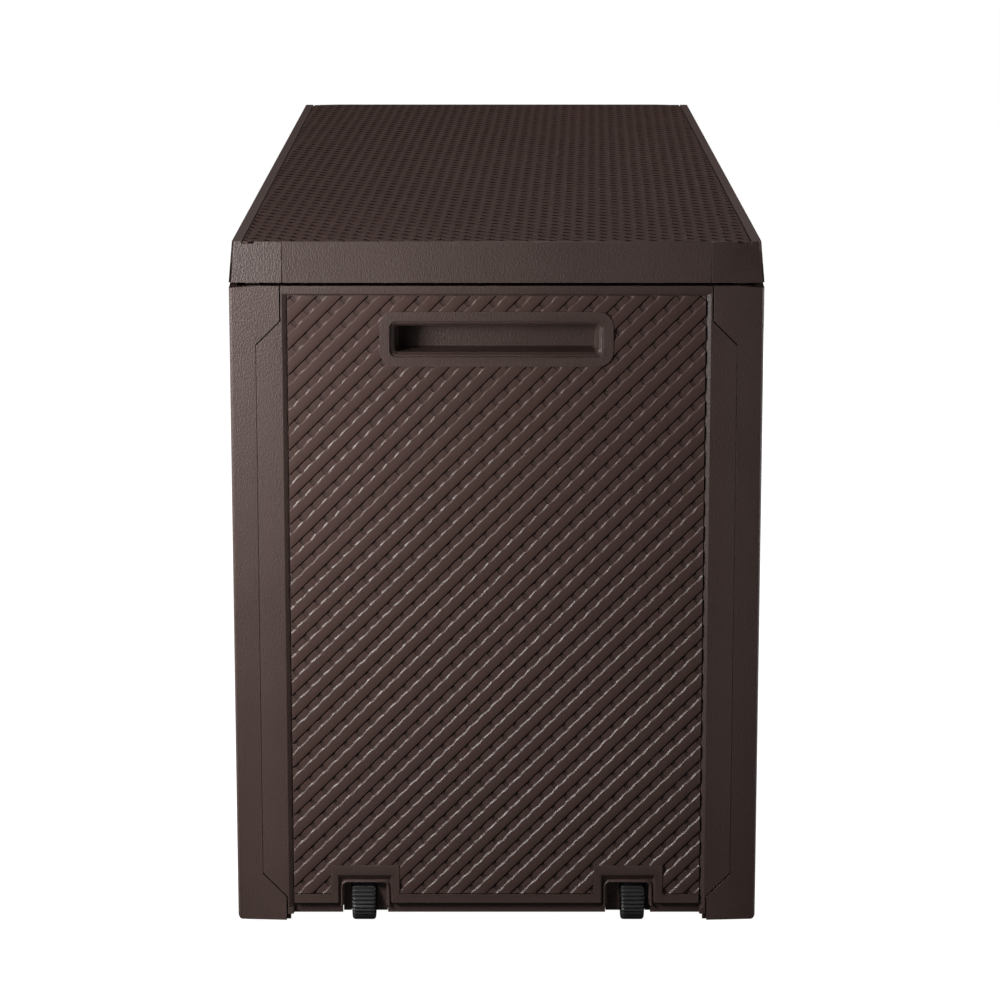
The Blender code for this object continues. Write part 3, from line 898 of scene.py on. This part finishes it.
def ribbed_wheel(node, body):
    """A wheel with a hub and rim on each side and a ribbed tread."""
    low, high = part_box(node)
    radius = (high.z - low.z) / 2
    half = (high.y - low.y) / 2
    middle = (low + high) / 2
    ribs = 33
    per_rib = 8
    bore = 0.0032
    rib_depth = 0.0014
    edge = 0.0026
    # Distance from the axle and from the wheel's middle, down one side and over the tread
    section = [(bore, half - 0.0012), (0.006, half - 0.0012), (0.0066, half - 0.0003)]
    section += [(0.0080, half - 0.0003), (0.0086, half - 0.0016), (0.0140, half - 0.0016)]
    section += [(0.0148, half - 0.0002)]
    for step in range(5):
        t = math.radians(90 - 90 * step / 4)
        section.append((radius - edge + edge * math.cos(t), half - edge + edge * math.sin(t)))
    tread = len(section) - 3
    section.append((radius, half * 0.45))
    section += [(r, -y) for r, y in reversed(section)]
    shape = bmesh.new()
    rings = []
    around = ribs * per_rib
    for k in range(around):
        angle = 2 * math.pi * k / around
        lobe = 0.5 + 0.5 * math.cos(2 * math.pi * (k % per_rib) / per_rib)
        sunk = rib_depth * (1 - lobe**0.6)
        ring = []
        for i, (r, y) in enumerate(section):
            on_tread = tread <= i < len(section) - tread
            reach = r - (sunk if on_tread else 0.0)
            ring.append(
                shape.verts.new(
                    (
                        middle.x + reach * math.cos(angle),
                        middle.y + y,
                        middle.z + reach * math.sin(angle),
                    )
                )
            )
        rings.append(ring)
    count = len(section)
    for k in range(around):
        near, far = rings[k], rings[(k + 1) % around]
        for i in range(count):
            j = (i + 1) % count
            shape.faces.new((near[i], far[i], far[j], near[j]))
    bmesh.ops.recalc_face_normals(shape, faces=shape.faces)
    for face in shape.faces:
        face.smooth = True
    name = f"{node}_tread"
    mesh = bpy.data.meshes.new(name)
    shape.to_mesh(mesh)
    shape.free()
    mesh.set_sharp_from_angle(angle=math.radians(50))
    mesh.materials.append(black_resin)
    made = bpy.data.objects.new(name, mesh)
    scene.collection.objects.link(made)
    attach(made, body)
    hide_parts(node)


for label in ("front_wheel", "back_wheel"):
    ribbed_wheel(label, label)


def zinc_steel():
    """Dull zinc plating, slightly mottled."""
    made = bpy.data.materials.new("zinc_plated_steel")
    made.use_nodes = True
    tree = made.node_tree
    shader = tree.nodes["Principled BSDF"]
    shader.inputs["Metallic"].default_value = 1.0
    grain = add_node(tree, "ShaderNodeGroup", node_tree=grain_group)
    grain.inputs["Grain Size"].default_value = 0.0006
    colour = blend_colour(tree, grain.outputs["Mottle"], (0.42, 0.42, 0.40), (0.62, 0.62, 0.60))
    tree.links.new(colour, shader.inputs["Base Color"])
    dull = add_node(
        tree,
        "ShaderNodeMapRange",
        {"Value": grain.outputs["Mottle"], "To Min": 0.25, "To Max": 0.45},
    )
    tree.links.new(dull.outputs[0], shader.inputs["Roughness"])
    relief = add_node(
        tree,
        "ShaderNodeBump",
        {"Height": grain.outputs["Height"], "Strength": 0.2, "Distance": 0.0001},
    )
    tree.links.new(relief.outputs[0], shader.inputs["Normal"])
    return made


steel = zinc_steel()


def plate(node):
    """Gives a frame piece the plated finish as it is."""
    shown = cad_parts[node]
    shown.data.materials.clear()
    shown.data.materials.append(steel)


for label in ("front_wheel_axle", "back_wheel_axle"):
    plate(label)

# ------------------------------------------------------------------ lid
# One wide moulding of the same resin with a basket relief on top and ribs underneath. It has plain
# rims along both long sides and a skirt whose lower edge sits just above the walls.

lid_low, lid_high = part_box("lid_shell")
crease_y = lid_high.y - 0.045


def crease_section(end, middle, outside, z):
    """The V of a crease in an end skirt at one height, cut 1.5 mm deep from outside the face."""
    x = end * (lid_high.x + outside)
    return [
        (x, middle - 0.0005, z),
        (x, middle + 0.0005, z),
        (end * (lid_high.x + outside - 0.0015), middle, z),
    ]


lid_cuts = []
for end in (-1, 1):
    for side in (-1, 1):
        low = crease_section(end, side * crease_y, 0.001, lid_low.z - 0.002)
        high = crease_section(end, side * crease_y, -0.002, lid_high.z + 0.001)
        lid_cuts.append(loft("crease", low, high))
rim_y = lid_high.y - 0.0114
recess_end = lid_high.x - 0.0047
recess = (-recess_end, -rim_y, recess_end, rim_y)


def on_lid(x, y, depth):
    return (x, y, lid_high.z - depth)


lid_cuts.append(
    loft("lid_recess", rectangle(*recess, -0.001, on_lid), rectangle(*recess, 0.00195, on_lid))
)
moulding("lid_moulding", "lid_shell", "lid", plain_brown, 0.0005, cuts=lid_cuts)
lid_field = (lid_high.x - 0.005, rim_y - 0.0003)
lid_relief = 0.0017
lid_strands = (0.0085, 0.94, 0.0)
lid_woven = woven_resin(
    "lid_woven_brown_resin",
    (0.066, 0.0376, 0.0322),
    (0.096, 0.0560, 0.0478),
    brown_edge_highlight,
    0.55,
    # Relief heights below which the painted shade is full and above which it is gone.
    0.88,
    0.25,
)
basket_relief(
    ["lid_weave_plain_end", "lid_weave_wheel_end"],
    "lid",
    ((-lid_field[0], -lid_field[1], lid_high.z - 0.002), (1, 0, 0), (0, 1, 0), (0, 0, 1)),
    (2 * lid_field[0], 2 * lid_field[1]),
    lid_relief,
    lid_strands,
    lid_woven,
)

# ------------------------------------------------------------------ hinges
# Each hinge is a resin leaf on the back wall and one under the lid, joined by a headed steel pin
# and held by four pan head screws.

for number in (1, 2, 3):
    moulding(
        f"hinge_{number}_wall_leaf_moulding",
        f"hinge_{number}_wall_leaf",
        "box_body",
        plain_brown,
        0.0004,
    )
    moulding(
        f"hinge_{number}_lid_leaf_moulding",
        f"hinge_{number}_lid_leaf",
        "lid",
        plain_brown,
        0.0004,
    )
    plate(f"hinge_{number}_pin")
    for count in (1, 2):
        plate(f"hinge_{number}_wall_screw_{count}")
        plate(f"hinge_{number}_lid_screw_{count}")
